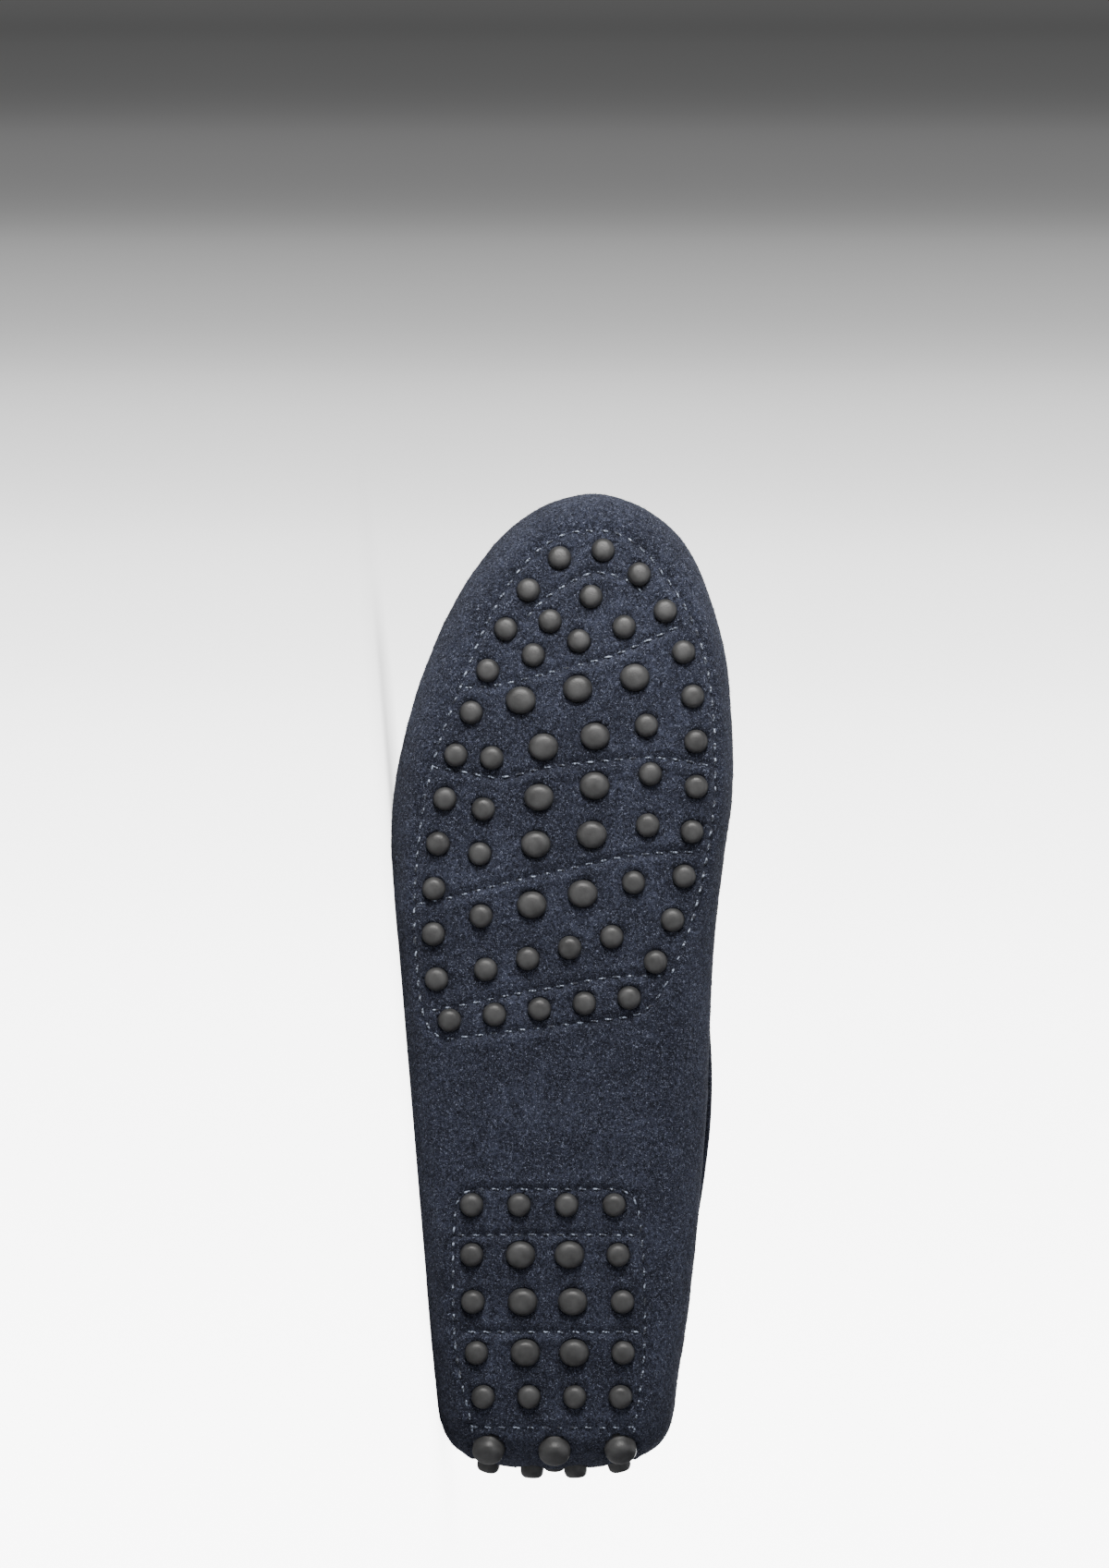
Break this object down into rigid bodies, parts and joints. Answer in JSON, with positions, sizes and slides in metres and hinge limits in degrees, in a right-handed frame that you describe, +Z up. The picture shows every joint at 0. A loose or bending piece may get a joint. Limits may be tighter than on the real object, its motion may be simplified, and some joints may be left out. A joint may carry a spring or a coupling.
{
  "type": "driving moccasin",
  "caption": "Right-foot suede driving moccasin with rubber studded forefoot and heel pads, raised apron seam, tongue and bound collar, lying on its outer side.",
  "frame": {"origin": "on the floor that the shoe lies on, below the middle of its bounding box", "axes": "+X runs from toe to heel, -Y is the way the sole faces, +Z is up from the shoe's outer side to its inner side"},
  "size_m": [0.293, 0.0824, 0.1043],
  "materials": {
    "navy_suede": "napped suede",
    "dark_lining": "smooth, matte",
    "grey_rubber": "matte"
  },
  "bodies": {
    "root": {"upper": "navy_suede", "apron": "navy_suede", "collar_binding": "navy_suede", "insole": "dark_lining", "forefoot_pad": "grey_rubber", "heel_pad": "grey_rubber"}
  },
  "joints": []
}
